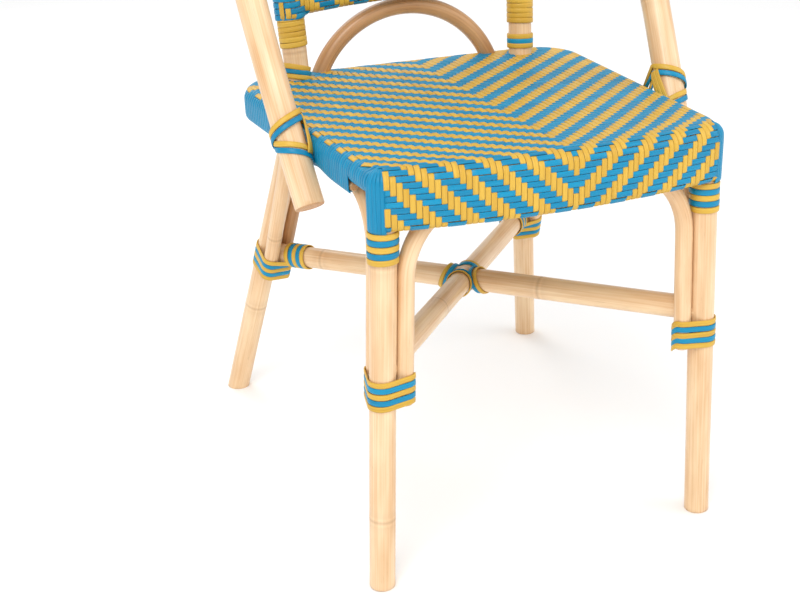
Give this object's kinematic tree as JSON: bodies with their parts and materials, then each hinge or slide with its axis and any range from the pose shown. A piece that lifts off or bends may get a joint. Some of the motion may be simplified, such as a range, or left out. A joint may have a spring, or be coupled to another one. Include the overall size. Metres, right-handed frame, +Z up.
{
  "type": "rattan bistro chair",
  "caption": "Bistro chair of bent rattan cane with a woven strand seat and back, a tall hoop, braced legs and crossed stretchers bound with strand.",
  "frame": {"origin": "on the floor, below the middle of the box round the whole chair", "axes": "+X to the right as seen from the front, -Y towards the front of the seat, +Z up"},
  "size_m": [0.4914, 0.566, 0.8989],
  "materials": {
    "rattan": "satin",
    "rattan_brown": "satin",
    "strand_yellow": "satin",
    "strand_blue": "satin",
    "woven_strand": "satin"
  },
  "bodies": {
    "root": {"back_hoop": "rattan", "crossing_lash": "strand_yellow", "front_apron_lath": "rattan", "front_brace": "rattan", "front_leg_left": "rattan", "front_leg_right": "rattan", "front_lower_lash_left": "strand_blue", "front_lower_lash_right": "strand_blue", "front_rail": "rattan", "front_top_lash_left": "strand_yellow", "front_top_lash_right": "strand_yellow", "hoop_tie_centre": "strand_blue", "hoop_tie_left": "strand_blue", "hoop_tie_right": "strand_blue", "panel_lower_rail": "rattan", "panel_top_rail": "rattan", "panel_weave": "woven_strand", "post_lash_left": "strand_blue", "post_lash_right": "strand_blue", "post_wrap_left": "strand_yellow", "post_wrap_right": "strand_yellow", "rear_arch": "rattan_brown", "rear_brace": "rattan", "rear_lash_left": "strand_blue", "rear_lash_right": "strand_blue", "rear_leg_left": "rattan", "rear_leg_right": "rattan", "rim_apron_lath": "rattan", "seat_rim_cane": "rattan", "seat_weave": "woven_strand", "side_brace_left": "rattan", "side_brace_right": "rattan", "side_lash_left": "strand_yellow", "side_lash_right": "strand_yellow", "stretcher_left": "rattan", "stretcher_right": "rattan", "stretcher_tie_left": "strand_yellow", "stretcher_tie_right": "strand_yellow"}
  },
  "joints": []
}
